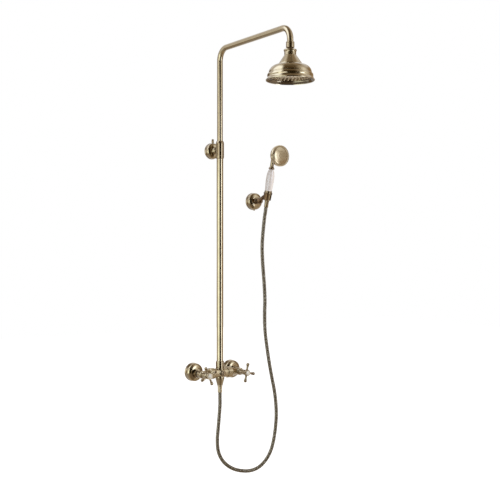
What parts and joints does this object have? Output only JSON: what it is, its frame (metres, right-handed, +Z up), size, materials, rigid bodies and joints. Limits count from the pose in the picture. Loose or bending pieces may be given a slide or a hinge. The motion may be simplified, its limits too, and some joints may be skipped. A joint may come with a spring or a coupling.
{
  "type": "shower column",
  "caption": "Exposed wall shower column: cross-handle mixer, telescopic riser with bell-shaped rain head, and a porcelain-handled hand shower on a hose and cradle.",
  "frame": {"origin": "midway between the two inlet tails, in the plane of the wall", "axes": "+Z up the riser, +X to the right as seen from the front, -Y forward out of the wall"},
  "size_m": [0.3243, 0.5385, 1.4519],
  "materials": {
    "antique_brass": "brushed antique brass, lacquered",
    "plain_brass": "dull machined brass",
    "porcelain": "white glaze",
    "hose_metal": "dark bronzed spiral-wound metal",
    "rubber": "black moulded rubber",
    "nozzle_silicone": "tan moulded silicone",
    "valve_plastic": "moulded"
  },
  "bodies": {
    "root": {"hot_flange": "antique_brass", "cold_flange": "antique_brass", "hot_eccentric": "plain_brass", "cold_eccentric": "plain_brass", "union_nuts": "antique_brass", "sealing_washers": "rubber", "check_valves": "valve_plastic", "valve_body": "antique_brass", "hot_cartridge": "valve_plastic", "cold_cartridge": "valve_plastic", "hot_bonnet": "antique_brass", "cold_bonnet": "antique_brass", "diverter_cartridge": "valve_plastic", "riser_nut": "antique_brass", "lower_riser": "antique_brass", "sleeve_collar": "antique_brass", "sleeve_seals": "rubber", "riser_bracket_arm": "antique_brass", "riser_bracket_flange": "antique_brass", "riser_bracket_plate": "plain_brass", "flange_screws": "antique_brass", "hose_outlet": "plain_brass", "lower_hose_nut": "antique_brass", "lower_ferrule": "antique_brass", "hose": "hose_metal", "hand_bracket_flange": "antique_brass", "hand_bracket_plate": "plain_brass", "hand_bracket_arm": "antique_brass", "cradle": "antique_brass"},
    "hot_handle": {"hot_spindle": "plain_brass", "hot_handle": "antique_brass", "hot_screw": "plain_brass", "hot_cap": "porcelain"},
    "cold_handle": {"cold_spindle": "plain_brass", "cold_handle": "antique_brass", "cold_screw": "plain_brass", "cold_cap": "porcelain"},
    "diverter": {"diverter_spindle": "plain_brass", "diverter_knob": "antique_brass"},
    "riser_slide": {"guide_bush": "valve_plastic"},
    "riser_arm": {"upper_riser": "antique_brass", "arm_end_nut": "antique_brass", "ball_stem": "antique_brass"},
    "swivel": {"swivel_seat": "rubber"},
    "shower_head": {"swivel_nut": "antique_brass", "head_bell": "antique_brass", "face_plate": "antique_brass", "face_ring": "antique_brass", "spray_nozzles": "nozzle_silicone", "flow_disc": "valve_plastic"},
    "handset": {"upper_hose_nut": "antique_brass", "upper_ferrule": "antique_brass", "upper_hose_washer": "rubber", "handset_base": "antique_brass", "handset_tube": "plain_brass", "handset_grip": "porcelain", "handset_collar": "antique_brass", "handset_neck": "antique_brass", "handset_shell": "antique_brass", "handset_face": "antique_brass"}
  },
  "joints": [
    {"name": "hot_turn", "type": "hinge", "parent": "root", "child": "hot_handle", "pos_m": [-0.075, -0.09, -0.003], "axis": [0, -1, 0], "range_deg": [0, 90]},
    {"name": "cold_turn", "type": "hinge", "parent": "root", "child": "cold_handle", "pos_m": [0.075, -0.09, -0.003], "axis": [0, -1, 0], "range_deg": [-90, 0]},
    {"name": "diverter_turn", "type": "hinge", "parent": "root", "child": "diverter", "pos_m": [0, -0.075, -0.003], "axis": [0, -1, 0], "range_deg": [0, 90]},
    {"name": "riser_height", "type": "slide", "parent": "root", "child": "riser_slide", "axis": [0, 0, 1], "range_m": [-0.2, 0.15]},
    {"name": "arm_swing", "type": "hinge", "parent": "riser_slide", "child": "riser_arm", "pos_m": [0, -0.055, 0.9], "axis": [0, 0, 1], "range_deg": [-60, 60]},
    {"name": "head_tip", "type": "hinge", "parent": "riser_arm", "child": "swivel", "pos_m": [0, -0.45, 1.008], "axis": [1, 0, 0], "range_deg": [-12, 12]},
    {"name": "head_roll", "type": "hinge", "parent": "swivel", "child": "shower_head", "pos_m": [0, -0.45, 1.008], "axis": [0, 1, 0], "range_deg": [-12, 12]},
    {"name": "handset_lift", "type": "slide", "parent": "root", "child": "handset", "axis": [0, -0.2419, 0.9703], "range_m": [0, 0.05]}
  ]
}
